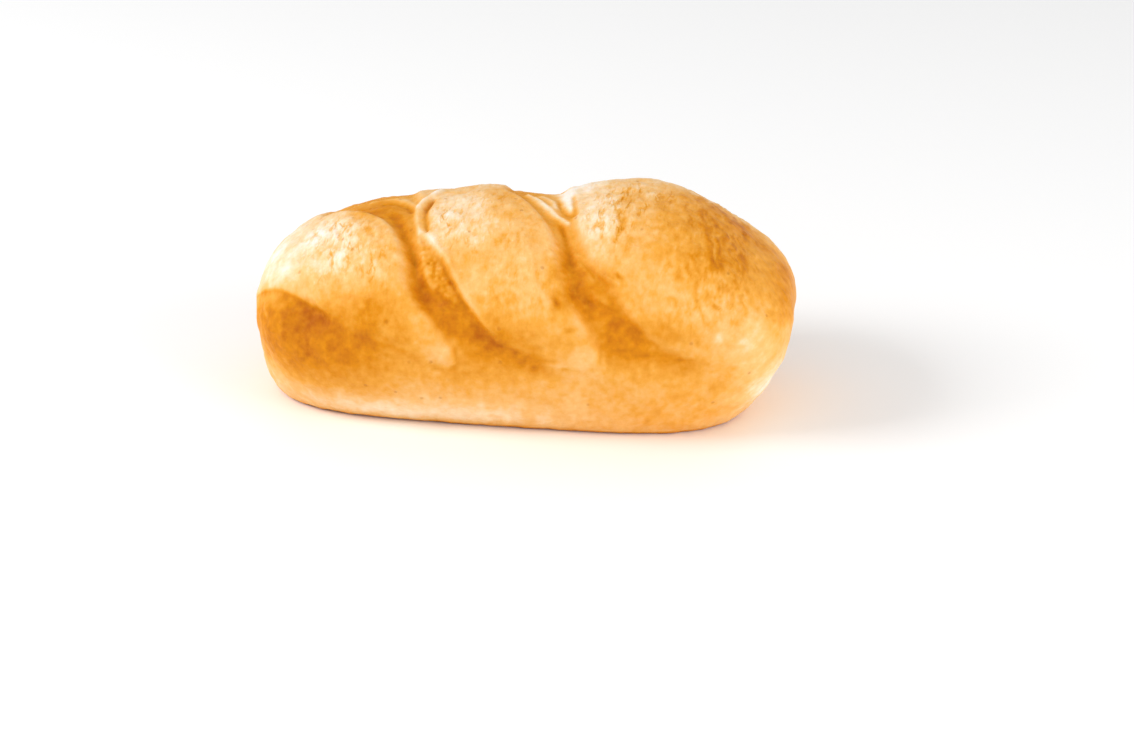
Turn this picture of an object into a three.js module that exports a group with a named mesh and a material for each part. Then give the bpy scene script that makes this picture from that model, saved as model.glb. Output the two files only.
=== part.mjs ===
// Milk bread roll: an oblong loaf of soft dough, proved and baked on a flat tray, with two
// slanting slashes that opened in the oven and left three puffed lobes between them.
// Millimetres, +Z up, X along the roll, -Y its front. It stands on its flat underside at z = 0,
// and the origin is in the middle of its length and width.
import * as THREE from 'three';
import { mergeVertices } from 'three/addons/utils/BufferGeometryUtils.js';

// Driving dimensions of the plain loaf.
const HALF_LENGTH = 67.6;
const HALF_WIDTH = 33;
const WAIST_HEIGHT = 24.8; // level of the widest outline above the tray
const CROWN_RISE = 26.5; // from the waist to the top of the plain loaf
const BELLY_DROP = 40; // from the waist to where the belly would end if the tray were not there
const BASE_FILLET = 1.4; // how softly the belly turns into the flat underside

// How far the roll tucks in under its waist: the two ends in millimetres, the long sides as
// a share of the width.
const END_TUCK = { left: 3.2, right: 10.5 };
const SIDE_TUCK = 0.18;
const TUCK_SOFTNESS = 2.5; // the larger, the later the tuck begins

// How much fuller (or slimmer) the right end is than the left, as a share of each size.
const TAPER = { width: -0.01, waist: 0.105, belly: 0.15 };

// How blunt the two ends are: 2 is an ellipse, larger is blunter.
const BLUNT_LEFT = { plan: 3.24, crown: 2.6, belly: 5, section: 1.9 };
const BLUNT_RIGHT = { plan: 3.7, crown: 2.2, belly: 4.5, section: 2.3 };
const CROWN_SECTION = 2.15;
const MIDDLE = [-0.6, 0.6]; // shares of the length between which the left turns into the right
const TOWARDS_END = [0.2, 1];

// The skin is mapped by x along the roll and by an arc length over the crown: 0 on the top
// line, negative down the front, ARC_PER_RADIAN long for each radian turned.
const ARC_PER_RADIAN = 30;

// Each slash opened between a steep lip on its right and the soft edge of the lobe on its left.
// lipX: where the lip crosses the top line; reach: how far down the front the lip runs;
// curl: how quickly it sweeps to the right there. edgeX: where the soft edge ends low on the
// front; flare: how far the slash gapes at the top; backX and closing: its far edge at the back.
const SLASHES = [
  { lipX: -26, reach: 48.5, curl: 11.5, edgeX: -10.5, flare: 14.5, backX: -51, closing: 13 },
  { lipX: 12, reach: 49, curl: 11.5, edgeX: 27.5, flare: 9, backX: -4.5, closing: 11 },
];
const EDGE_SLANT = 0.42; // how much the soft edges lean, per millimetre over the crown
const EDGE_FOOT = -48; // where on the front edgeX is measured
const FLARE = { start: 3.7, spread: 10 }; // the gape grows from here upwards, this quickly
const FAR_EDGE = { middle: 14, half: 31 }; // the far edge is an arch over the crown
const EDGE_BLEND = 1.2; // rounding where the front edge and the far edge meet

// The opened dough lies lower than the skin, lower still on the front, where the cut was deepest.
const SLASH_DEPTH = 1.5;
const CUT = { depth: 1.7, place: -27, spread: 15 };

// Where the slashes fade out: down the front, down the back and towards the right end.
const FADE_FRONT = [-66, -44];
const FADE_BACK = [35, 58];
const FADE_RIGHT = [40, 62];

// The first lobe ends below in a shoulder, low round the left end and higher along the front.
const SHOULDER = { low: 21, climb: 12.5, place: -40, spread: 7, depth: 0.9 };
const LEFT_END = [-49, -61];
const SHOULDER_FOOT = [4, 16];
const SHOULDER_SIDE = [-15, 15]; // across the top line it ends, except round the left end

// Profiles of the steps up to a lobe: a quick rise from foot to top, with this share of the
// height, and a slow swell for the rest. The shoulder's is measured straight up.
const LIP_STEP = { foot: -4, top: 2.4, share: 0.72, from: 0, to: 9 };
const EDGE_STEP = { foot: -0.8, top: 4, share: 0.6, from: -1, to: 9 };
const SHOULDER_STEP = { foot: -1.9, top: 1.3, share: 0.7, from: 0, to: 8.4 };

// Crowns of the three lobes: x on the top line, rise and spread.
const LOBES = [
  { x: -36, rise: 1.9, spread: 16 },
  { x: -4, rise: 1.8, spread: 11 },
  { x: 37, rise: 4.4, spread: 17.5 },
];
const LOBE_SLANT = 0.35;
const CROWN_FRONT = [-50, -20];
const CROWN_BACK = [35, 60];
const CROWN_ENDS = [48, 64];

// Facets of the finished skin.
const STEPS_ALONG = 70;
const STEPS_AROUND = 70;
const CLOSER_STEPS = 0.45; // how much closer the steps are on the upper front
const CLOSEST_AT = Math.PI / 3;

const smooth = ([from, to], value) => {
  const t = THREE.MathUtils.clamp((value - from) / (to - from), 0, 1);
  return t * t * (3 - 2 * t);
};
const signedPower = (value, exponent) => Math.sign(value) * Math.abs(value) ** exponent;
const superellipse = (t, blunt) => Math.max(0, 1 - t ** blunt) ** (1 / blunt);

// Share of the length at step s (0 left end .. 1 right end), with closer steps at the ends.
function lengthShare(s) {
  const eased = s ** 1.5 / (s ** 1.5 + (1 - s) ** 1.5);
  return -Math.cos(Math.PI * eased);
}

// The plain loaf: superellipse sections, each set on its own waist and tucked in below it.
function loafPoint(s, angle) {
  const t = lengthShare(s);
  const end = Math.min(Math.abs(t), 1);
  const right = smooth(MIDDLE, t);
  const blunt = (name) => THREE.MathUtils.lerp(BLUNT_LEFT[name], BLUNT_RIGHT[name], right);
  const above = Math.sin(angle) > 0;
  const waist = WAIST_HEIGHT * (1 + TAPER.waist * t);
  const width = HALF_WIDTH * (1 + TAPER.width * t) * superellipse(end, blunt('plan'));
  const height = above
    ? CROWN_RISE * superellipse(end, blunt('crown'))
    : BELLY_DROP * (1 + TAPER.belly * t) * superellipse(end, blunt('belly'));
  const roundness = 2 / (above ? CROWN_SECTION : blunt('section'));
  const z = waist + height * signedPower(Math.sin(angle), roundness);
  const below = THREE.MathUtils.clamp(1 - z / waist, 0, 1);
  const tucked = ((1 + TUCK_SOFTNESS) * below ** 2) / (below + TUCK_SOFTNESS);
  const pull = END_TUCK.left * smooth(TOWARDS_END, -t) - END_TUCK.right * smooth(TOWARDS_END, t);
  const y = -width * signedPower(Math.cos(angle), roundness) * (1 - SIDE_TUCK * tucked);
  return new THREE.Vector3(HALF_LENGTH * t + pull * tucked, y, z);
}

// Outward direction of the plain loaf, from two short steps on its surface.
function loafNormal(s, angle) {
  if (s === 0 || s === 1) return new THREE.Vector3(2 * s - 1, 0, 0);
  const ds = 1e-4;
  const da = 1e-3;
  const along = loafPoint(s + ds, angle).sub(loafPoint(s - ds, angle));
  const around = loafPoint(s, angle + da).sub(loafPoint(s, angle - da));
  return along.cross(around).normalize();
}

// Distance to a slash's lip, positive on the lobe at its right.
function lipDistance(x, over, slash) {
  const fall = Math.exp(-THREE.MathUtils.clamp((x - slash.lipX) / slash.curl, -2.5, 20));
  const slope = (slash.reach * fall) / slash.curl;
  return (over + slash.reach * (1 - fall)) / Math.hypot(1, slope);
}

// Distance to a slash's soft edge, positive on the lobe at its left.
function edgeDistance(x, over, slash) {
  const above = THREE.MathUtils.clamp((over - FLARE.start) / FLARE.spread, -8, 2);
  const gape = slash.flare * Math.exp(above);
  const front = slash.edgeX - EDGE_SLANT * (over - EDGE_FOOT) - gape;
  const back = slash.backX + slash.closing * ((over - FAR_EDGE.middle) / FAR_EDGE.half) ** 2;
  const rounding = Math.log1p(Math.exp(-Math.abs(front - back) / EDGE_BLEND));
  const edge = Math.max(front, back) + EDGE_BLEND * rounding;
  const slope = EDGE_SLANT + (over < FLARE.start ? gape / FLARE.spread : 0);
  return (edge - x) / Math.hypot(1, slope);
}

const rise = (d, step) =>
  step.share * smooth([step.foot, step.top], d) + (1 - step.share) * smooth([step.from, step.to], d);

// Height of the skin over the plain loaf: sunken in the opened slashes and under the lobes,
// puffed on the lobes.
function relief(x, over, z) {
  const [first, second] = SLASHES;
  const leftEnd = smooth(LEFT_END, x);
  const bend = SHOULDER.climb / (1 + Math.exp((x - SHOULDER.place) / SHOULDER.spread));
  const shoulder = rise(z - SHOULDER.low - bend, SHOULDER_STEP);
  const back = smooth(SHOULDER_SIDE, over) * (1 - leftEnd);
  const firstEdge = rise(edgeDistance(x, over, first), EDGE_STEP);
  const lobes = [
    THREE.MathUtils.lerp(firstEdge, 1, leftEnd) * THREE.MathUtils.lerp(shoulder, 1, back),
    rise(lipDistance(x, over, first), LIP_STEP) * rise(edgeDistance(x, over, second), EDGE_STEP),
    rise(lipDistance(x, over, second), LIP_STEP),
  ];
  const opened = lobes.reduce((bare, lobe) => bare * (1 - lobe), 1);
  const cut = SLASH_DEPTH + CUT.depth * Math.exp(-(((over - CUT.place) / CUT.spread) ** 2));
  const reach = smooth(FADE_FRONT, over) * (1 - smooth(FADE_BACK, over)) * (1 - smooth(FADE_RIGHT, x));
  const underShoulder = SHOULDER.depth * smooth(SHOULDER_FOOT, z);
  const depth = THREE.MathUtils.lerp(cut * reach, underShoulder, leftEnd);
  const crownReach = smooth(CROWN_FRONT, over) * (1 - smooth(CROWN_BACK, over))
    * (1 - smooth(CROWN_ENDS, Math.abs(x)));
  const crown = LOBES.reduce((sum, lobe) => {
    const away = (x - lobe.x + LOBE_SLANT * over) / lobe.spread;
    return sum + lobe.rise * Math.exp(-(away ** 2));
  }, 0);
  return crown * crownReach - depth * opened;
}

// The tray flattens everything below it, with a soft turn at the rim of the underside.
function restOnTray(z) {
  if (z > BASE_FILLET) return z;
  if (z < -BASE_FILLET) return 0;
  return (z + BASE_FILLET) ** 2 / (4 * BASE_FILLET);
}

function skinPoint(s, angle) {
  const point = loafPoint(s, angle);
  const over = (angle - Math.PI / 2) * ARC_PER_RADIAN;
  const height = relief(point.x, over, point.z);
  point.addScaledVector(loafNormal(s, angle), height);
  point.z = restOnTray(point.z);
  return point;
}

// A sphere's rings and meridians carry the skin: its poles are the ends of the roll, and its
// seam runs along the underside.
function rollGeometry() {
  const sphere = new THREE.SphereGeometry(1, STEPS_AROUND, STEPS_ALONG);
  const { position, uv } = sphere.attributes;
  for (let i = 0; i < position.count; i++) {
    const s = 1 - uv.getY(i);
    const turn = 2 * Math.PI * ((1 - uv.getX(i)) % 1); // the seam's two edges are the same points
    const drift = CLOSER_STEPS * (Math.sin(turn + CLOSEST_AT) - Math.sin(CLOSEST_AT));
    const angle = turn + drift - Math.PI / 2;
    const point = skinPoint(s, angle);
    position.setXYZ(i, point.x, point.y, point.z);
  }
  // Counting the turn backwards lays the facets' diagonals along the slashes, but faces them
  // inwards, so each facet is turned over.
  const { index } = sphere;
  for (let i = 0; i < index.count; i += 3) {
    const second = index.getX(i + 1);
    index.setX(i + 1, index.getX(i + 2));
    index.setX(i + 2, second);
  }
  sphere.deleteAttribute('normal');
  sphere.deleteAttribute('uv');
  const skin = mergeVertices(sphere, 1e-4);
  skin.computeBoundingBox();
  const middle = skin.boundingBox.getCenter(new THREE.Vector3());
  skin.translate(-middle.x, -middle.y, 0);
  skin.computeVertexNormals();
  return skin;
}

const crust = new THREE.MeshStandardMaterial({ color: 0xf6bd6c, roughness: 0.62, metalness: 0 });

const roll = new THREE.Group();
const milkRoll = new THREE.Mesh(rollGeometry(), crust);
milkRoll.name = 'milk_roll';
roll.add(milkRoll);

export default roll;
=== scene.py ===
"""A milk bread roll on a pale floor: soft crust over two opened slashes, baked on a flat tray.

Metres in Blender. The shape itself is worked out in millimetres: x along the roll, -y its front,
z up from the tray.
"""
import itertools
import math

import bpy
import numpy as np
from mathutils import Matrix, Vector


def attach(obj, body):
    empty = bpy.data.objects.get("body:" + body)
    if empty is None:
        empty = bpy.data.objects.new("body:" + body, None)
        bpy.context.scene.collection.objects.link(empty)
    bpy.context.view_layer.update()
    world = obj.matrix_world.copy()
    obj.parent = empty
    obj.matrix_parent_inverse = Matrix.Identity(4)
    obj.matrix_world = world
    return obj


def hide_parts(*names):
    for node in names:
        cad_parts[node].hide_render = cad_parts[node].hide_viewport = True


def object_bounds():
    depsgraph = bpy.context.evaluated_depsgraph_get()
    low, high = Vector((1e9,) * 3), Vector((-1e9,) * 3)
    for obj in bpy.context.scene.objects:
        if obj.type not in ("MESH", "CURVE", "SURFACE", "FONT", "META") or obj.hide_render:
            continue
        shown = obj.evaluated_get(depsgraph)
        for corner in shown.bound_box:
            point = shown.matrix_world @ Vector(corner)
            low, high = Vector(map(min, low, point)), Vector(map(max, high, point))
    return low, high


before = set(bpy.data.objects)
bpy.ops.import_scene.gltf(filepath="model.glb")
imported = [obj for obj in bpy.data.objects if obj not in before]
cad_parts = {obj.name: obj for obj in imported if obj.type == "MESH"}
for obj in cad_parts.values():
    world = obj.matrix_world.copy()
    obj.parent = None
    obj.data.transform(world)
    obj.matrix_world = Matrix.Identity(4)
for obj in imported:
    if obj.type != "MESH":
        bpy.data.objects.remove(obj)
cad_low, cad_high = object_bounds()

# ---------------------------------------------------------------------------------------------
# The milk roll: one piece of soft enriched dough, rolled oblong, slashed twice on the slant,
# proved until the slashes gaped, and baked on a tray that left it a flat brown underside.
# ---------------------------------------------------------------------------------------------
# The plain loaf: half its length and width, the level of its widest outline, the rise from there
# to the top line, the drop to where the belly would end without a tray, and the round at its foot.
HALF_LENGTH = 67.6
HALF_WIDTH = 33.0
WAIST = 24.8
CROWN_RISE = 26.5
BELLY_DROP = 40.0
BASE_FILLET = 1.4
# How far the roll tucks in under its waist: the ends in millimetres, the sides as a share.
END_TUCK = {"left": 3.2, "right": 10.5}
SIDE_TUCK = 0.18
TUCK_SOFTNESS = 2.5
# How much fuller or slimmer the right end is than the left, as a share of each size.
TAPER = {"width": -0.01, "waist": 0.105, "belly": 0.15}
# How blunt the ends are, from above and in each section: 2 is an ellipse, larger is blunter.
CROWN_SECTION = 2.15
BLUNT_LEFT = {"plan": 3.24, "crown": 2.6, "belly": 5.0, "section": 1.9}
BLUNT_RIGHT = {"plan": 3.7, "crown": 2.2, "belly": 4.5, "section": 2.3}
# Shares of the half length between which the left turns into the right, and an end tucks in.
MIDDLE = (-0.6, 0.6)
TOWARDS_END = (0.2, 1)
# The way over the roll, in millimetres for each radian turned: 0 at the top line, less in front.
ARC_PER_RADIAN = 30.0
# Rings along the roll, and steps around it: closer by a share, and closest on the upper front,
# where the phase sets them.
RINGS = 414
STEPS_AROUND = 240
CLOSER_STEPS = 0.58
STEP_PHASE = math.pi / 6


def smooth(start, end, value):
    """Soft step from 0 at start to 1 at end: t squared times three minus two t."""
    t = np.clip((value - start) / (end - start), 0, 1)
    return t * t * (3 - 2 * t)


def plain_loaf(s, angle):
    """Plain loaf in s (0 left end, 1 right end) and angle (0 front, 90 degrees the top line).

    x runs as minus the cosine of pi times s, eased at the ends. Each section is a superellipse
    on the waist, as wide and high as superellipses of x allow, and tucked in under the waist.
    """
    eased = s**1.5 / (s**1.5 + (1 - s) ** 1.5)
    t = -np.cos(np.pi * eased)
    end = np.minimum(np.abs(t), 1)
    right = smooth(*MIDDLE, t)

    def blunt(name):
        return BLUNT_LEFT[name] + (BLUNT_RIGHT[name] - BLUNT_LEFT[name]) * right

    def reach(name):
        return (1 - end ** blunt(name)) ** (1 / blunt(name))

    above = np.sin(angle) > 0
    waist = WAIST * (1 + TAPER["waist"] * t)
    width = HALF_WIDTH * (1 + TAPER["width"] * t) * reach("plan")
    height = np.where(above, CROWN_RISE * reach("crown"),
                      BELLY_DROP * (1 + TAPER["belly"] * t) * reach("belly"))
    power = 2 / np.where(above, CROWN_SECTION, blunt("section"))
    up, out = np.sin(angle), np.cos(angle)
    z = waist + height * np.sign(up) * np.abs(up) ** power
    y = -width * np.sign(out) * np.abs(out) ** power
    below = np.clip(1 - z / waist, 0, 1)
    tucked = (1 + TUCK_SOFTNESS) * below**2 / (below + TUCK_SOFTNESS)
    pull = END_TUCK["left"] * smooth(*TOWARDS_END, -t) - END_TUCK["right"] * smooth(*TOWARDS_END, t)
    x = HALF_LENGTH * t + pull * tucked
    return np.stack(np.broadcast_arrays(x, y * (1 - SIDE_TUCK * tucked), z), axis=-1)


# The lip at a slash's right runs down the front and flattens out; a round swell lifts it.
LIP_FALL = 52.0
LIP_RUN = 12.0
SWELL_AT = 11.8
SWELL_HALF = 7.2
# The soft edge at its left: where it is 48 mm down the front, and how it flares, dips and closes.
EDGE_FOOT = -48.0
FLARE_TOP = 3.7
FLARE_RUN = 10.0
DIP_AT = -30.0
DIP_HALF = 9.0
ARCH_START = 12.0
ARCH_HEIGHT = 31.0
EDGE_BLEND = 1.2


def lip_distance(x, over, lip_x, swell):
    """Distance to a slash's lip, positive on the lobe at its right.

    The lip falls as over = fall times (e to the minus (x - lip_x) / run, less one), and is lifted
    by a soft round swell to the right of its top.
    """
    fall = LIP_FALL * np.exp(-np.clip((x - lip_x) / LIP_RUN, -2.5, 20))
    off = (x - lip_x - SWELL_AT) / SWELL_HALF
    lifted = swell * np.exp(-(off**2))
    steep = fall / LIP_RUN + 2 * off / SWELL_HALF * lifted
    return (over + LIP_FALL - fall - lifted) / np.hypot(1, steep)


def edge_distance(x, over, edge_x, slant, flare, dip, back_x, closing):
    """Distance to the soft edge at a slash's left, positive on the lobe.

    The edge leans as a straight line on the front, with a soft dip halfway down, and flares to
    the left near the top line; behind the crown it closes as an arch. The two are blended with
    a soft maximum.
    """
    gape = flare * np.exp(np.clip((over - FLARE_TOP) / FLARE_RUN, -8, 2))
    gape += dip * np.exp(-(((over - DIP_AT) / DIP_HALF) ** 2))
    front = edge_x - slant * (over - EDGE_FOOT) - gape
    back = back_x + closing * (np.maximum(over - ARCH_START, 0) / ARCH_HEIGHT) ** 2
    edge = EDGE_BLEND * np.logaddexp(front / EDGE_BLEND, back / EDGE_BLEND)
    return (edge - x) / np.hypot(1, slant + gape / FLARE_RUN * smooth(8, -2, over))


def shoulder_line(x):
    """The fold low on the left lobe: high round the end, then down to the right in two steps."""
    return -50 + 20 / (1 + np.exp((x + 51) / 5)) + 10 / (1 + np.exp((x + 30) / 7))


def spots(x, over, places):
    """Sum of soft round spots, each (x, over, half length, half width, turn, amount).

    A spot is its amount times e to the minus squared distance in its own turned half sizes.
    """
    total = np.zeros_like(x)
    for at_x, at_over, long_half, wide_half, turn, amount in places:
        c, s = math.cos(math.radians(turn)), math.sin(math.radians(turn))
        along = (x - at_x) * c + (over - at_over) * s
        across = (over - at_over) * c - (x - at_x) * s
        total += amount * np.exp(-((along / long_half) ** 2) - (across / wide_half) ** 2)
    return total


def bands(x, over, marks):
    """Sum of soft bands, each (amount, bent line of x, over and half width).

    A band is its amount times e to the minus squared distance to the line in half widths.
    """
    total = np.zeros_like(x)
    for amount, line in marks:
        nearest = np.full_like(x, 1e9)
        for (ax, av, ah), (bx, bv, bh) in zip(line, line[1:]):
            share = (x - ax) * (bx - ax) + (over - av) * (bv - av)
            share = np.clip(share / ((bx - ax) ** 2 + (bv - av) ** 2), 0, 1)
            gap = np.hypot(x - ax - share * (bx - ax), over - av - share * (bv - av))
            nearest = np.minimum(nearest, gap / (ah + share * (bh - ah)))
        total += amount * np.exp(-(nearest**2))
    return total


def lumps(place, size, seed):
    """Smooth random lumps about size apart, from -1 to 1.

    Each corner of a lattice has its own height, the broken part of a large sine, and the
    corners round a point are blended with soft steps.
    """
    cell = np.floor(place / size)
    part = place / size - cell
    part = part * part * (3 - 2 * part)
    total = np.zeros(place.shape[:-1])
    for corner in itertools.product((0, 1), repeat=place.shape[-1]):
        key = (cell + corner) @ np.array([127.1, 311.7, 74.7][: place.shape[-1]])
        height = np.sin(key + seed) * 43758.5453
        weight = np.prod(np.where(corner, part, 1 - part), axis=-1)
        total += weight * (2 * (height - np.floor(height)) - 1)
    return total


def crumples(x, over, width, length, seed):
    """Drawn-out crumples of the skin, about width by length, from -1 to 1.

    Lumps of three sizes on a flat map that is itself bent by broad lumps.
    """
    flat = np.stack([x, over], axis=-1)
    bend = 0.9 * width * lumps(flat, 3.2 * width, seed + 7)
    lean = 0.5 * length * lumps(flat, 2.5 * length, seed + 8)
    drawn = np.stack([(x + 0.16 * over + bend) / width, (over - 0.2 * x + lean) / length], axis=-1)
    total = lumps(drawn, 1, seed) + 0.6 * lumps(drawn, 0.53, seed + 1)
    return (total + 0.35 * lumps(drawn, 0.27, seed + 2)) / 1.4


# Bent lines of the skin in x, over and half width: in each slash the rolled lip and the thin
# strands of torn skin, the seam where the web meets the lobe, the valley and its darkest well;
# below, the hems at the feet of the lobes.
LIP_STRANDS = [
    [(-39, 5.8, 0.7), (-33.2, 4.8, 0.8), (-30, 3.4, 0.8), (-27.6, 0.9, 0.8), (-26.2, -1.6, 0.7)],
    [(-21.6, 7.5, 0.8), (-23, 4, 0.85), (-25, 1.2, 0.8), (-26.1, -1.6, 0.8), (-25.8, -5, 0.7),
     (-24.9, -9, 0.65), (-23.9, -11.8, 0.6)],
]
LIP_GROOVE = [(-22.6, 1.5, 0.5), (-23.7, -2, 0.8), (-23.4, -6, 0.8), (-22.5, -9.5, 0.7),
              (-21.9, -11.6, 0.4)]
STRAND_GROOVE = [(-35, 2.4, 0.5), (-31.6, 2.0, 0.7), (-29.1, 0.6, 0.8), (-27.4, -2.2, 0.6)]
WEB_SEAM = [(-23.6, -12, 0.6), (-21, -14.5, 0.6), (-18.5, -17.5, 0.65), (-16.3, -20.5, 0.7),
            (-14.6, -24, 0.7), (-13, -27.5, 0.7), (-11, -31, 0.7), (-9, -34.5, 0.7),
            (-6.5, -38.5, 0.6), (-3.5, -42, 0.5)]
SEAM_SHADE = [(-22.6, -14.6, 0.5), (-19.6, -18.2, 0.6), (-17.4, -21.4, 0.6), (-15.8, -24.6, 0.6),
              (-14.2, -28, 0.6), (-12.3, -31.6, 0.6), (-10.3, -35, 0.6)]
VALLEY_1 = [(-31.5, -4, 1.2), (-28.6, -9, 1.3), (-26.6, -14, 1.3), (-25, -19, 1.3),
            (-23.8, -24, 1.8), (-22.4, -28.5, 2.2), (-20.4, -32.5, 2.4)]
WEB_RIM = [(-24, -13.5, 0.6), (-22.6, -18, 0.7), (-21.6, -22, 0.7), (-20.2, -27, 0.8),
           (-18.2, -31, 0.8)]
TOP_FOLD = [(0.6, 4.2, 0.8), (3, 1.4, 0.8), (5.2, -0.8, 0.8), (7.6, -3.9, 0.85), (9.6, -5.9, 0.8),
            (11.8, -7.7, 0.65)]
TOP_STRAND = [(3.6, 5.4, 0.75), (5.6, 3.3, 0.7), (7.4, 0.7, 0.65), (8.3, -1.6, 0.55)]
TORN_PATCH = [(9, 9, 2), (9.8, 4.5, 1.6), (10.8, 1, 1.2), (12, -2.8, 0.6)]
PATCH_EDGES = [
    [(8.3, 3.4, 0.6), (8.9, -0.4, 0.6), (10.4, -3, 0.65), (12.6, -5.2, 0.6)],
    [(11.9, 3.2, 0.55), (12.8, -1.5, 0.6), (13.6, -5.2, 0.6)],
]
VALLEY_2 = [(10.4, -8.5, 0.8), (11.8, -13, 1), (13, -18, 1.2), (14.2, -22, 1.5), (16, -26.5, 1.7)]
WELL_2 = [(18.4, -29.5, 1.5), (18.4, -33.5, 1.6)]
FRINGE_2 = [
    [(14.5, -17.2, 0.4), (17.2, -19.6, 0.5), (19.6, -22.2, 0.5), (21.8, -25, 0.5),
     (25.8, -27.4, 0.4)],
    [(15.6, -20.6, 0.4), (17.6, -22.8, 0.4), (19.8, -26.4, 0.4)],
]
HEM_LINES = [
    [(-19, -50.6, 0.5), (-15.5, -51.4, 0.6), (-12.7, -50, 0.6), (-13.2, -46.5, 0.5)],
    [(-2, -45.5, 0.5), (4, -47.6, 0.45), (12, -48.4, 0.4)],
    [(13, -49.6, 0.5), (18, -50.2, 0.6), (21.9, -49, 0.6), (21.9, -45.5, 0.5)],
    [(26, -47, 0.5), (36, -47.6, 0.45), (48, -48.7, 0.4)],
]
# Browner runs along the floor of each slash: painted shade under the lip of the lobe to its right.
LIP_SHADE_RUN_1 = [(-19, -32, 3), (-15.5, -37, 3.6), (-10.5, -41.5, 4.4), (-5, -45.5, 4), (1, -48, 3),
               (8, -49.5, 2)]
LIP_SHADE_RUN_2 = [(18, -26, 2.5), (21, -31, 3.8), (24, -37, 4.6), (27, -42, 4.6), (31, -46, 3.6),
               (36, -48.5, 2.4), (45, -49.5, 1.5)]

# The lobes' crowns (x, rise, half width), and soft spots (x, over, half length, half width, turn,
# amount): the web's swell, a few pits and blisters, and where the skin crumpled most.
LOBE_CROWNS = [(-36, 1.9, 16), (-4, 1.8, 11), (37, 4.4, 17.5)]
SWELLS_AND_PITS = [
    (-20.5, -19, 5.5, 1.6, -64, 0.4), (-48, -40, 15, 6, -14, -0.3),
    (11.2, -33.4, 1.9, 0.8, -60, -0.6), (-60.5, -45, 1, 0.8, 0, 0.35),
    (-62, -49.5, 0.9, 0.8, 0, 0.3), (-40.8, -41, 0.8, 0.7, 0, 0.25),
    (-57.8, -40.5, 1.2, 1, 30, 0.3),
]
CRUMPLED_PATCHES = [
    (-43, -13, 11, 12, -20, 0.65), (-32, -24, 6, 9, 0, 0.5), (-13, -7, 11, 11, 0, 0.5),
    (22, -7, 9, 13, -30, 0.55), (32, 2, 9, 7, 0, 0.4),
]
BLISTERED_WEB = (-19.3, -23.5, 9, 2.3, -62, 1)


# Where the left end begins and is whole, in x; there the shoulder alone parts lobe and front.
LEFT_END = (-49, -61)
# Depth of the opened dough: near the top line, what is added halfway down the front, and under
# the shoulder at the left end.
CUT_DEPTH = 1.7
CUT_DEEPENS = 2.6
CUT_DEEPEST_AT = -27
CUT_HALF = 15
END_DEPTH = 1.1
# Crowns lean with the slashes, by this much of x for each millimetre over the roll.
CROWN_LEAN = 0.35
# The skin: width and length of its crumples and strokes, and heights of all that stands on it.
CRUMPLE_SIZE = (1.6, 3.8)
STROKE_SIZE = (0.9, 2.8)
PUFF_RISE = 0.27
HOLLOW_DEPTH = 0.3
STROKE_RISE = 0.22
BLISTER_RISE = 0.5
TORN_RISE = 0.14
RIM_RISE = 0.25
RIM_HALF = 0.9


def slash_lines(x, over):
    """Distances to the two lips and to the two soft edges, all positive on the lobes."""
    lips = [lip_distance(x, over, lip_x=-25.8, swell=7.2),
            lip_distance(x, over, lip_x=12.2, swell=5.0)]
    edges = [edge_distance(x, over, edge_x=-11.8, slant=0.38, flare=14.5, dip=3.2,
                           back_x=-51, closing=20),
             edge_distance(x, over, edge_x=23.4, slant=0.34, flare=9, dip=1.4,
                           back_x=-4.5, closing=15)]
    return lips, edges


def bare_dough(x, over, lips, edges, brink):
    """How far the dough lies bare: 0 on the three lobes, 1 in the slashes and below the shoulder.

    A lobe is a product of soft steps: up from its lip, its soft edge of width brink, or the
    shoulder, steep at first and then easily. Halfway down the front a lip's first step is
    shared with a later one, so that the web of dough makes a ledge. Bare is the product of what
    each lobe leaves.
    """
    web = smooth(-12, -26, over) * smooth(-38, -31, over)
    ledge = -2 - 4.6 * web
    soft = 0.7 * smooth(-30, -40, over) + 1.5 * smooth(12, 30, over)
    lip_rises = []
    for lip in lips:
        first = smooth(-2 - soft, 1 + soft, lip)
        first += 0.5 * web * (smooth(ledge, ledge + 2.2, lip) - first)
        lip_rises.append(0.72 * first + 0.28 * smooth(0, 9, lip))
    edge_rises = [0.62 * smooth(-0.4, brink, edge) + 0.38 * smooth(-1, 9, edge) for edge in edges]
    left_end = smooth(*LEFT_END, x)
    softness = 1 + 3 * smooth(-48, -42, x) * smooth(-16, -28, x) + 1.6 * smooth(-46, -54, x)
    under = (over - shoulder_line(x)) / softness
    shoulder = 0.7 * smooth(-1.8, 1.2, under) + 0.3 * smooth(0, 8, under)
    back = smooth(-15, 15, over) * (1 - left_end)
    left_lobe = (edge_rises[0] * (1 - left_end) + left_end) * (shoulder * (1 - back) + back)
    middle_lobe = lip_rises[0] * edge_rises[1]
    right_lobe = lip_rises[1]
    return (1 - left_lobe) * (1 - middle_lobe) * (1 - right_lobe)


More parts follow.
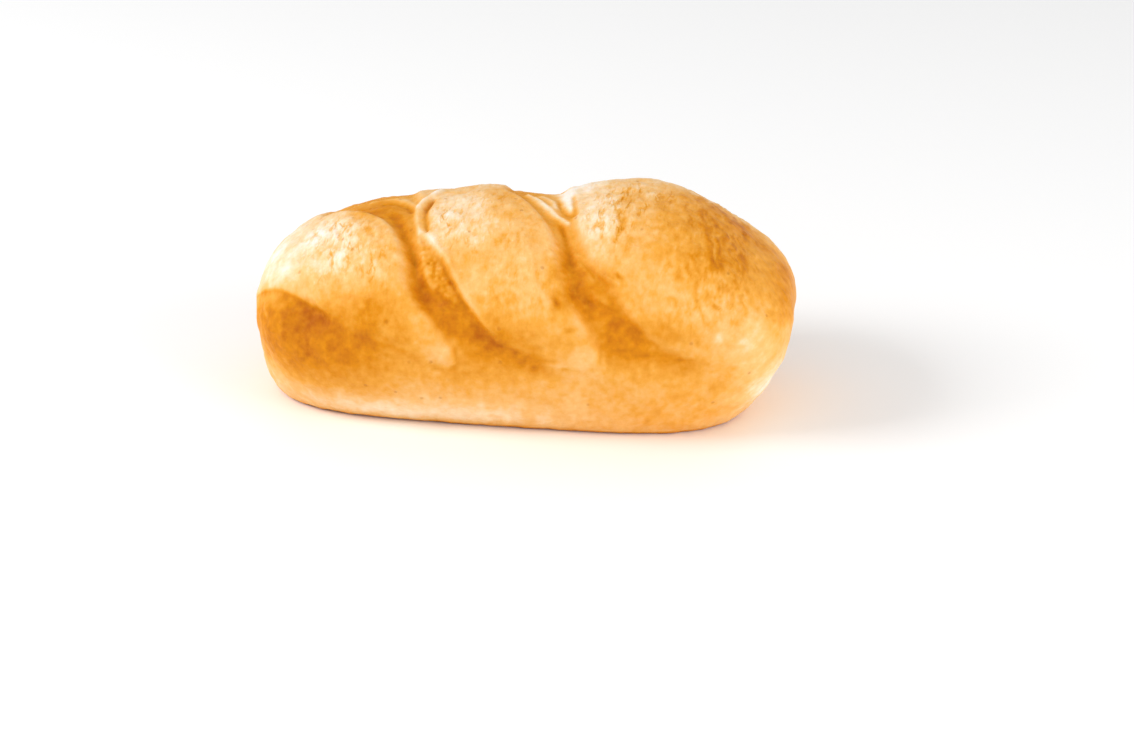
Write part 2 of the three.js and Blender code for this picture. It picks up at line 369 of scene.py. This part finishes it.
def roll_relief(x, over, z, place):
    """Height of the skin over the plain loaf, and the shares that the crust's tone follows.

    The bare dough lies lower than the lobes. Crowns, folds, crumples and dents are added on top.
    All but the unevenness of the whole roll fades out at the middle of each end, where the rings
    close. Place is the point on the plain loaf. The shares are the opened dough, the crumpled
    skin, its creases (browner in the hollows and paler on the puffs: partly painted shade and
    highlight), the strokes of the right end, the blisters of the web, a soft mottling, and how far
    the rings have opened.
    """
    ring_open = smooth(1, 17, np.hypot(place[..., 1], place[..., 2] - WAIST))
    lips, edges = slash_lines(x, over)
    brink = 3.2 - 1.5 * smooth(-20, -8, over) + 3.5 * smooth(12, 30, over)
    bare = bare_dough(x, over, lips, edges, brink)
    left_end = smooth(*LEFT_END, x)
    cut = CUT_DEPTH + CUT_DEEPENS * np.exp(-(((over - CUT_DEEPEST_AT) / CUT_HALF) ** 2))
    cut *= smooth(-64, -43, over) * (1 - smooth(28, 50, over)) * (1 - smooth(40, 62, x))
    height = -(cut * (1 - left_end) + END_DEPTH * left_end * smooth(4, 16, z)) * bare

    # Crowns of the three lobes.
    ends = 1 - smooth(48, 64, np.abs(x))
    crown_reach = smooth(-50, -20, over) * (1 - smooth(35, 60, over)) * ends
    for at, rise, half_width in LOBE_CROWNS:
        leaning = (x - at + CROWN_LEAN * over) / half_width
        height += rise * np.exp(-(leaning**2)) * crown_reach

    # The web of stretched dough, a few pits and blisters, and the bent lines.
    height += spots(x, over, SWELLS_AND_PITS)
    height += bands(x, over, [
        (0.45, LIP_STRANDS[0]), (0.7, LIP_STRANDS[1]), (-1.1, LIP_GROOVE), (-0.5, STRAND_GROOVE),
        (0.55, WEB_SEAM), (-0.35, SEAM_SHADE), (-0.8, VALLEY_1), (0.35, WEB_RIM),
        (0.65, TOP_FOLD), (0.35, TOP_STRAND), (0.3, TORN_PATCH), (-0.4, PATCH_EDGES[0]),
        (-0.5, PATCH_EDGES[1]), (-0.7, VALLEY_2), (-0.7, WELL_2), (0.3, FRINGE_2[0]),
        (0.25, FRINGE_2[1]), *((-0.2, line) for line in HEM_LINES),
    ])

    # Crumples of the skin on the lobes, strongest near the top, and long wrinkles at the right.
    top = smooth(-50, -30, over) * (1 - smooth(40, 60, over)) * ends
    upper = (1 - np.clip(1.6 * bare, 0, 1)) * top
    patches = 0.35 + spots(x, over, CRUMPLED_PATCHES)
    patches *= 0.6 + 0.4 * smooth(-0.3, 0.4, lumps(place, 6, 61))
    right_end = smooth(30, 46, x)
    creased = crumples(x, over, *CRUMPLE_SIZE, 40)
    hollows = smooth(0.08, 0.5, creased) * upper * patches * (1 - right_end)
    puffs = smooth(0.05, 0.6, -creased) * upper * patches * (1 - right_end)
    strokes = crumples(x, over, *STROKE_SIZE, 21) * right_end * top
    height += PUFF_RISE * puffs - HOLLOW_DEPTH * hollows + STROKE_RISE * strokes

    # Torn dough in the slashes, blisters on the web, and the rolled rims of the soft edges.
    opened = smooth(0.3, 0.95, bare) * smooth(-54, -42, over) * (1 - smooth(22, 46, over))
    opened *= 1 - smooth(36, 50, x)
    height += opened * TORN_RISE * lumps(place, 1.5, 33)
    blisters = spots(x, over, [BLISTERED_WEB])
    height += blisters * BLISTER_RISE * np.abs(lumps(place, 1.4, 52))
    rims = sum(np.exp(-(((edge - brink) / RIM_HALF) ** 2)) for edge in edges)
    height += RIM_RISE * rims * smooth(-24, -12, over) * (1 - smooth(8, 16, over)) * ends

    # Unevenness of the whole roll, broad where it isn't held by the tray, and fine all over.
    free = smooth(-2, 12, z)
    height = height * ring_open + free * (0.4 * lumps(place, 17, 5) + 0.22 * lumps(place, 6.5, 13))
    height += 0.2 * lumps(place, 2.6, 17) + 0.09 * lumps(place, 1.4, 18) * ring_open
    return height, {
        "opened": opened,
        "crumpled": (upper * patches + 0.12) * ring_open,
        # Browner in the hollows, paler on the puffs: partly painted shade and highlight of the
        # crumples.
        "creased": hollows - 0.7 * puffs,
        "strokes": strokes,
        "blisters": blisters * lumps(place, 0.8, 71),
        "mottled": 0.05 * lumps(place, 3.6, 91) + 0.07 * lumps(place, 1.5, 92),
        "ring_open": ring_open,
    }


def rest_on_tray(z):
    """z above the tray; what would be below it lies flat, with a short round between the two."""
    turn = (z + BASE_FILLET) ** 2 / (4 * BASE_FILLET)
    return np.where(z > BASE_FILLET, z, np.where(z < -BASE_FILLET, 0, turn))


# Where the skin is paler and browner, from its baking and from painted highlight and shade, as soft
# spots, one group for each part of the roll.
TONE_SPOTS = [
    # Left end and left lobe: a cream crown, partly painted highlight; brown low in its fold,
    # painted shade.
    (-62, -6, 12, 12, 0, -0.24), (-58, 8, 9, 6, 0, -0.2), (-58, -17, 7, 4, -10, -0.2),
    (-61, -34, 6, 13, 0, -0.28), (-64, -1, 6, 8, 0, -0.2), (-67, -36, 4, 16, 0, -0.26),
    (-57, -6, 4, 5, 0, 0.13), (-62, -27, 5, 3, -15, -0.12), (-65, -19, 3, 3, 0, 0.14),
    (-60, -29, 6, 3.5, -15, -0.1), (-54, -16, 5, 3, 0, 0.1), (-47, -9, 10, 10, 0, -0.32),
    (-45, -21, 4, 3, 0, -0.1), (-41, -20, 8, 6, 0, -0.14), (-36, -2, 9, 6, -30, 0.12),
    (-39, -2, 5, 4, -30, 0.12), (-34, -35, 13, 8, -20, 0.18), (-34, -41, 9, 5, -18, 0.14),
    (-36, -34, 6, 4, 0, 0.08), (-25, -46, 5, 4, 0, 0.08), (-48, -56, 16, 5, -4, 0.14),
    # First slash and its web.
    (-31, 6, 5, 4, 0, -0.1), (-30, 4, 4, 3, 0, -0.08), (-21.2, -14.8, 4, 1.7, -54, -0.27),
    (-22, -24, 3.5, 4, 0, 0.1), (-17.5, -27, 8, 2.6, -62, 0.08),
    # Middle lobe: a cream crown, partly painted highlight, browner towards its foot.
    (-15, -5, 10, 10, -20, -0.28), (-10, -14, 4, 4, 0, -0.08), (-14, -24, 3.5, 5, -30, 0.1),
    (-6, 1, 3, 6, 0, 0.15), (0, -1, 5, 7, 0, 0.1), (1, -4, 3, 4, 0, 0.1),
    (-2, -40, 13, 7, -20, 0.18), (0, -43, 9, 4, -30, 0.12), (-8, -48, 12, 6, 0, 0.08),
    (-14, -44, 3, 3, 0, -0.1), (-16, -47.5, 4, 2.5, 30, -0.08), (-16, -49.5, 3.5, 2, 0, -0.1),
    # Second slash: torn cream skin at its top, brown well and run below, painted shade.
    (13, 10, 5, 5, 0, -0.3), (9, 2, 9, 7, 0, -0.16), (7, -2, 6, 4, 0, -0.1),
    (10, -12, 2.5, 4, 0, -0.08), (12, -14, 4, 4, 0, -0.12), (10.5, -24, 2.5, 4, 0, 0.12),
    (13, -26, 3, 7, 10, 0.1), (18, -22, 3, 3, 0, 0.08), (20, -25, 6, 3.5, -50, 0.17),
    (24, -27, 5, 3, -50, 0.14), (14, -34, 4, 6, 0, 0.16), (18, -44, 5, 3, 0, 0.09),
    (26, -46, 5, 5, 0, 0.14), (18, -49.5, 5, 2.5, 0, -0.12),
    # Right lobe: a cream edge by the slash, a painted highlight, browner on its shoulder, partly
    # painted shade.
    (19, -7, 5, 12, 0, -0.26), (30, 5, 5, 4, 0, -0.1), (33, 17, 8, 8, 0, -0.14),
    (48, -10, 14, 22, 0, 0.32), (50, -18, 6, 5, 0, 0.07), (54, 5, 7, 6, 0, 0.14),
    (54, 4, 6, 6, 0, 0.12), (33, -40, 14, 5, -25, 0.06), (34, -40, 5, 4, 0, 0.07),
    (38, -41, 3, 3, 0, 0.08), (42, -42, 7, 5, 0, 0.11), (54, -50, 6, 4, 0, 0.13),
    (38, -60, 22, 5, 0, 0.12), (46, -53, 8, 4, 0, 0.08),
    # Right end: brown over the rounding, partly painted shade; cream low down, partly painted light
    # bounced from the floor.
    (67, -16, 6, 28, 0, 0.34), (64, -2, 4, 5, 0, 0.08), (63, -22, 3, 8, 0, -0.1),
    (59, -37, 4, 5, 0, -0.1), (50, -42, 3.5, 2, 60, -0.2), (57, -46, 6, 4, 50, -0.2),
    (62, -52, 4, 4, 0, 0.05), (63, -58, 8, 9, 0, -0.24), (63, -62.5, 5, 4, 0, -0.26),
    # Back of the crown, paler along the top line, a painted glow at the outline, and the low front.
    (8, 18, 32, 9, 0, -0.2), (50, 13, 14, 6, 0, -0.16), (-12, -52, 36, 4, 0, 0.1),
    # Single small dark marks.
    (11.2, -33.4, 1.9, 0.8, -60, 0.3), (14.5, -40.5, 1.2, 0.7, 0, 0.25),
    (25.6, -25.2, 1.4, 0.5, -45, 0.35),
]
# The skin's own tone, what each share adds to it, and what the place on the roll adds: painted
# shade under the shoulder, more of it at the left end, on the back, in the pale band, partly
# painted light bounced from the floor, and on the underside.
OWN_TONE = 0.465
SHARE_TONES = {"opened": 0.26, "creased": 0.16, "strokes": 0.2, "blisters": 0.3}
SHOULDER_SHADE_TONE = 0.28
END_SHADE_TONE = 0.1
BACK_TONE = 0.08
BAND_AT = -22
BAND_HALF = 34
BAND_TONE = -0.26
UNDERSIDE_TONE = 0.5
# Above this tone the skin browns half as quickly.
DARKEST = 0.8


def browning_and_painted_light(x, over, z, shares):
    """How far the crust has baked brown, with painted light and shade: 0 cream, 1 deep brown.

    The skin's own tone, browner in the opened slashes, and low on the front under the shoulder,
    which is painted shade; paler on the crowns of the lobes, partly painted highlight, and in a
    band above the tray, partly painted light bounced from the floor; darker in the grooves and
    valleys, painted shade; and brown again on the underside. The middle of each end goes by its
    height alone.
    """
    brown = OWN_TONE + sum(tone * shares[name] for name, tone in SHARE_TONES.items())
    brown += spots(x, over, TONE_SPOTS)
    # Painted shade under the shoulder fold low on the front, more of it at the left end.
    left = smooth(-45, -51, x)
    spread = 7.5 - 6.3 * left
    low = smooth(spread, -spread, over - shoulder_line(x) + 2 * left)
    low *= smooth(-20, -45, x) * smooth(-61, -49, over)
    brown += (SHOULDER_SHADE_TONE + END_SHADE_TONE * left) * low
    brown += BACK_TONE * smooth(15, 40, over) * (1 - smooth(60, 80, over))
    # Paler band above the tray: partly the crust's own paler side, partly painted light bounced
    # from the floor.
    pale_band = np.exp(-(((x - BAND_AT) / BAND_HALF) ** 2)) * smooth(-30, -50, over)
    brown += BAND_TONE * pale_band * smooth(12, 5, z) * smooth(0.5, 4, z)
    brown += UNDERSIDE_TONE * smooth(1.2, 0, z)
    # Painted shade darkens the grooves, valleys, the well, the seam's shade, the patch edges, the
    # hems and the slash floors under the lips; painted highlight lightens the strands, folds, seam,
    # rims and fringes, and the torn patch is its own pale skin.
    brown += bands(x, over, [
        (-0.22, LIP_STRANDS[0]), (-0.3, LIP_STRANDS[1]), (0.42, LIP_GROOVE), (0.2, STRAND_GROOVE),
        (-0.1, WEB_SEAM), (0.16, SEAM_SHADE), (0.24, VALLEY_1), (-0.16, WEB_RIM),
        (-0.45, TOP_FOLD), (-0.25, TOP_STRAND), (-0.45, TORN_PATCH), (0.2, PATCH_EDGES[0]),
        (0.3, PATCH_EDGES[1]), (0.22, VALLEY_2), (0.14, WELL_2), (-0.1, FRINGE_2[0]),
        (-0.1, FRINGE_2[1]), (0.12, LIP_SHADE_RUN_1), (0.14, LIP_SHADE_RUN_2),
        *((0.12, line) for line in HEM_LINES),
    ])
    brown = np.where(brown > DARKEST, DARKEST + (brown - DARKEST) * 0.5, brown)
    # The middle of each end follows the spots round it: paler high on the left end, partly painted
    # highlight, and browner high on the right end, partly painted shade.
    middle = np.where(x < 0, 0.52 - 0.32 * smooth(18, 36, z), 0.46 + 0.24 * smooth(12, 26, z))
    return middle + (brown - middle) * shares["ring_open"] + shares["mottled"]


def roll_skin():
    """The skin as a grid of rings and steps, its flat map of x and over, and its shares.

    Rings are evenly spaced along the waist and the top line; steps are closer on the upper
    front. The outward direction is the cross product of the two differences on the plain loaf,
    and the skin stands its relief away along it.
    """
    fine = np.linspace(0, 1, 4001)[:, None]
    run = np.linalg.norm(np.diff(plain_loaf(fine, np.array([[0, np.pi / 2]])), axis=0), axis=-1)
    run = np.concatenate([[0], np.cumsum(run.sum(axis=1))])
    s = np.interp(np.linspace(0, run[-1], RINGS), run, fine[:, 0])[:, None]
    turn = np.linspace(0, 2 * np.pi, STEPS_AROUND, endpoint=False)[None, :]
    closer = CLOSER_STEPS * (np.sin(turn + STEP_PHASE) - np.sin(STEP_PHASE))
    angle = turn + closer - np.pi / 2
    place = plain_loaf(s, angle)
    along = np.gradient(place, axis=0)
    around = np.roll(place, -1, axis=1) - np.roll(place, 1, axis=1)
    out = np.cross(along, around)
    out /= np.maximum(np.linalg.norm(out, axis=-1, keepdims=True), 1e-9)
    out[0], out[-1] = (-1, 0, 0), (1, 0, 0)
    over = (angle - np.pi / 2) * ARC_PER_RADIAN + 0 * s
    x, z = place[..., 0], place[..., 2]
    height, shares = roll_relief(x, over, z, place)
    skin = place + out * height[..., None]
    skin[..., 2] = rest_on_tray(skin[..., 2])
    shares["browning_and_painted_light"] = browning_and_painted_light(x, over, skin[..., 2], shares)
    return skin, np.stack([x, over], axis=-1), shares


skin, skin_map, shares = roll_skin()
rows, columns = RINGS - 2, STEPS_AROUND
points = np.concatenate([skin[:1, 0], skin[1:-1].reshape(-1, 3), skin[-1:, 0]]) / 1000
middle = (points.min(axis=0) + points.max(axis=0)) / 2
points[:, :2] += [(cad_low[i] + cad_high[i]) / 2 - middle[i] for i in range(2)]
points[:, 2] += cad_low[2]

# Corner numbers of every face: quads between the rings, and a fan of triangles on each end.
step = np.arange(columns)
ahead = (step + 1) % columns
ring = 1 + columns * np.arange(rows - 1)[:, None]
quads = np.stack([ring + step, ring + columns + step, ring + columns + ahead, ring + ahead], -1)
last = 1 + columns * (rows - 1)
left_fan = np.stack([0 * step, 1 + step, 1 + ahead], axis=-1)
right_fan = np.stack([last + step, 0 * step + last + columns, last + ahead], axis=-1)
corners = np.concatenate([quads.ravel(), left_fan.ravel(), right_fan.ravel()])
sizes = np.concatenate([np.full(quads.size // 4, 4), np.full(2 * columns, 3)])

mesh = bpy.data.meshes.new("milk_roll_crust")
mesh.vertices.add(len(points))
mesh.vertices.foreach_set("co", points.astype(np.float32).ravel())
mesh.loops.add(len(corners))
mesh.loops.foreach_set("vertex_index", corners.astype(np.int32))
mesh.polygons.add(len(sizes))
mesh.polygons.foreach_set("loop_start", (np.cumsum(sizes) - sizes).astype(np.int32))
mesh.polygons.foreach_set("use_smooth", np.ones(len(sizes), dtype=bool))
mesh.update(calc_edges=True)
mesh.validate()
for name in ("browning_and_painted_light", "opened", "crumpled"):
    grid = shares[name]
    values = np.concatenate([grid[:1, 0], grid[1:-1].ravel(), grid[-1:, 0]])
    mesh.attributes.new(name, "FLOAT", "POINT").data.foreach_set("value", values.astype(np.float32))

# The skin laid flat, one unit to the centimetre: x to the right, the way over the roll upwards.
flat = np.concatenate([skin_map[:1, 0], skin_map[1:-1].reshape(-1, 2), skin_map[-1:, 0]])[corners]
mesh.uv_layers.new(name="skin").uv.foreach_set("vector", (flat / 10).astype(np.float32).ravel())

crust_roll = bpy.data.objects.new("milk_roll_crust", mesh)
bpy.context.scene.collection.objects.link(crust_roll)
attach(crust_roll, "root")
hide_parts("milk_roll")


def linear(red, green, blue):
    """A colour given in 0 to 255 as it is seen, in the shader's linear light."""
    seen = [c / 255 for c in (red, green, blue)]
    return [c / 12.92 if c <= 0.04045 else ((c + 0.055) / 1.055) ** 2.4 for c in seen] + [1]


# Crust from cream to deep brown, by how brown it baked, painted light and shade included.
CRUST_TONES = [
    (0.0, (254, 242, 229)), (0.2, (249, 219, 178)), (0.4, (243, 190, 118)),
    (0.6, (235, 164, 63)), (0.8, (217, 136, 12)), (1.0, (180, 96, 5)),
]

crust = bpy.data.materials.new("milk_roll_crust")
crust.use_nodes = True
tree = crust.node_tree
shader = tree.nodes["Principled BSDF"]


def node(kind, inputs=(), **settings):
    """A new node of the crust's tree, with its settings, and its inputs linked or set."""
    made = tree.nodes.new(kind)
    for key, value in settings.items():
        setattr(made, key, value)
    for key, value in dict(inputs).items():
        if isinstance(value, bpy.types.NodeSocket):
            tree.links.new(value, made.inputs[key])
        else:
            made.inputs[key].default_value = value
    return made


def blend_number(operation, first, second):
    """The sum, product or the like of two numbers, either of them linked."""
    return node("ShaderNodeMath", {0: first, 1: second}, operation=operation).outputs[0]


# Patterns of the crust, as repeats to the metre: blotches, gloss, grain, flecks and pores, and
# the bubbles that may have broken; strokes are repeats to the centimetre across and over the roll.
BLOTCHES = 140
GLOSS_PATCHES = 300
BUBBLES = 300
GRAIN = 350
FLECKS = 620
PORES = 900
STROKES = (11, 4.5, 1)
STROKE_LEAN = math.radians(-9)
PINHOLE_TONE = (188, 108, 14)

place = node("ShaderNodeTexCoord").outputs["Object"]
browned_and_lit = node("ShaderNodeAttribute", attribute_name="browning_and_painted_light").outputs["Fac"]
torn = node("ShaderNodeAttribute", attribute_name="opened").outputs["Fac"]


def noise(scale, detail, roughness=0.5, vector=None):
    """Noise about zero: its height less a half."""
    made = node("ShaderNodeTexNoise", {
        "Vector": vector or place, "Scale": scale, "Detail": detail, "Roughness": roughness})
    return blend_number("SUBTRACT", made.outputs["Fac"], 0.5)


# Fine strokes of the skin drawn out over the roll, on the flat map, and sparse short ticks
# where the crumpled skin folded on itself: ticks lie where a second noise passes its middle.
flat_skin = node("ShaderNodeUVMap", uv_map="skin").outputs["UV"]
drawn = node("ShaderNodeMapping", {
    "Vector": flat_skin, "Rotation": (0, 0, STROKE_LEAN), "Scale": STROKES}).outputs[0]
crumpled = node("ShaderNodeAttribute", attribute_name="crumpled").outputs["Fac"]
strokes = blend_number("MULTIPLY", noise(1, 3, 0.6, drawn), crumpled)
fold = blend_number("ABSOLUTE", noise(0.62, 2, 0.5, drawn), 0)
fold = node("ShaderNodeMapRange", {"Value": fold, "From Min": 0.12, "From Max": 0})
sparse = node("ShaderNodeMapRange", {
    "Value": noise(0.45, 1, 0.5, drawn), "From Min": 0.0, "From Max": 0.1})
ticks = blend_number("MULTIPLY", fold.outputs["Result"], sparse.outputs["Result"])
where = node("ShaderNodeMapRange", {"Value": crumpled, "From Min": 0.3, "From Max": 0.9})
ticks = blend_number("MULTIPLY", ticks, where.outputs["Result"])

# Mottled tone: broad blotches, small flecks, the strokes and the ticks; the strokes and ticks are
# darker where the grain sinks them, partly painted shade.
blotches = blend_number("MULTIPLY", noise(BLOTCHES, 3), 0.2)
flecks = blend_number("MULTIPLY", noise(FLECKS, 2, 0.6), 0.22)
tone = blend_number("ADD", blend_number("ADD", browned_and_lit, blotches), flecks)
tone = blend_number("ADD", tone, blend_number("MULTIPLY", strokes, 0.5))
tone = blend_number("ADD", tone, blend_number("MULTIPLY", ticks, 0.3))
ramp = node("ShaderNodeValToRGB", {"Fac": tone})
stops = ramp.color_ramp.elements
for i, (at, colour) in enumerate(CRUST_TONES):
    stop = stops[i] if i < 2 else stops.new(at)
    stop.position = at
    stop.color = linear(*colour)

# Sparse pinholes, darker and a little sunk, where bubbles broke at the skin.
holes = node("ShaderNodeTexVoronoi", {"Vector": place, "Scale": BUBBLES}, feature="F1")
hole = node("ShaderNodeMapRange", {
    "Value": holes.outputs["Distance"], "From Min": 0.2, "From Max": 0.06},
    interpolation_type="SMOOTHSTEP")
chosen = node("ShaderNodeMapRange", {
    "Value": holes.outputs["Color"], "From Min": 0.3, "From Max": 0.26})
pinholes = blend_number("MULTIPLY", hole.outputs["Result"], chosen.outputs["Result"])
speckled = node("ShaderNodeMix", {
    "Factor": blend_number("MULTIPLY", pinholes, 0.4), "A": ramp.outputs["Color"],
    "B": linear(*PINHOLE_TONE)}, data_type="RGBA")
tree.links.new(speckled.outputs["Result"], shader.inputs["Base Color"])

# Sheen of the baked skin: smoother on the lobes, dry where the dough tore open.
sheen = blend_number("ADD", blend_number("MULTIPLY", torn, 0.18), 0.46)
gloss = blend_number("ADD", sheen, blend_number("MULTIPLY", noise(GLOSS_PATCHES, 2), 0.25))
tree.links.new(gloss, shader.inputs["Roughness"])

# Fine grain of the skin, as height: pores and short creases.
grain = blend_number("ADD", blend_number("MULTIPLY", noise(PORES, 3, 0.6), 0.6), noise(GRAIN, 2))
grain = blend_number("SUBTRACT", grain, blend_number("MULTIPLY", strokes, 0.9))
grain = blend_number("SUBTRACT", grain, blend_number("MULTIPLY", ticks, 0.6))
grain = blend_number("SUBTRACT", grain, blend_number("MULTIPLY", pinholes, 0.5))
bump = node("ShaderNodeBump", {"Strength": 0.5, "Distance": 0.0006, "Height": grain})
tree.links.new(bump.outputs["Normal"], shader.inputs["Normal"])
shader.inputs["IOR"].default_value = 1.42
shader.inputs["Specular IOR Level"].default_value = 0.16
shader.inputs["Subsurface Weight"].default_value = 0.1
shader.inputs["Subsurface Radius"].default_value = (1.0, 0.45, 0.18)
shader.inputs["Subsurface Scale"].default_value = 0.0015
mesh.materials.append(crust)

# ---------------------------------------------------------------------------------------------
# The floor: a wide white sheet of matt board.
# ---------------------------------------------------------------------------------------------
FLOOR_HALF = 6.0
FLOOR_GAP = 0.0001
floor_mesh = bpy.data.meshes.new("floor")
floor_signs = ((-1, -1), (1, -1), (1, 1), (-1, 1))
floor_corners = [(a * FLOOR_HALF, b * FLOOR_HALF, cad_low[2] - FLOOR_GAP) for a, b in floor_signs]
floor_mesh.from_pydata(floor_corners, [], [(0, 1, 2, 3)])
floor = bpy.data.objects.new("floor", floor_mesh)
bpy.context.scene.collection.objects.link(floor)
board = bpy.data.materials.new("floor_board")
board.use_nodes = True
board_shader = board.node_tree.nodes["Principled BSDF"]
board_shader.inputs["Base Color"].default_value = (1, 1, 1, 1)
board_shader.inputs["Roughness"].default_value = 0.9
floor_mesh.materials.append(board)

# ---------------------------------------------------------------------------------------------
# The studio: an even bright room, a large soft lamp from the upper left and a smaller fill.
# ---------------------------------------------------------------------------------------------
room = bpy.data.worlds.new("room")
room.use_nodes = True
room_light = room.node_tree.nodes["Background"]
room_light.inputs["Color"].default_value = (1, 1, 1, 1)
room_light.inputs["Strength"].default_value = 0.62
bpy.context.scene.world = room


def soft_lamp(name, place, size, power):
    """A square soft lamp at this place, turned to the middle of the roll."""
    lamp = bpy.data.lights.new(name, "AREA")
    lamp.size = size
    lamp.energy = power
    holder = bpy.data.objects.new(name, lamp)
    holder.location = place
    aim = Vector((0, 0, 0.02)) - Vector(place)
    holder.rotation_mode = "QUATERNION"
    holder.rotation_quaternion = aim.to_track_quat("-Z", "Y")
    bpy.context.scene.collection.objects.link(holder)


soft_lamp("lamp_left", (-0.75, -0.25, 0.58), 0.4, 5.4)
soft_lamp("lamp_right", (0.75, -0.4, 0.3), 0.6, 4)

# ---------------------------------------------------------------------------------------------
# The camera: a short telephoto, a little to the right of the front and looking down.
# ---------------------------------------------------------------------------------------------
TURN = math.radians(5.872)
TILT = math.radians(25)
AWAY = 0.6798
AIM = Vector((0.01037, 0, 0.00341))
camera_data = bpy.data.cameras.new("camera")
camera_data.lens = 85
camera_data.clip_start = 0.01
camera = bpy.data.objects.new("camera", camera_data)
level = math.cos(TILT)
towards = Vector((math.sin(TURN) * level, -math.cos(TURN) * level, math.sin(TILT)))
camera.location = AIM + AWAY * towards
camera.rotation_mode = "QUATERNION"
camera.rotation_quaternion = (-towards).to_track_quat("-Z", "Y")
bpy.context.scene.collection.objects.link(camera)
bpy.context.scene.camera = camera
bpy.context.scene.view_settings.view_transform = "Standard"
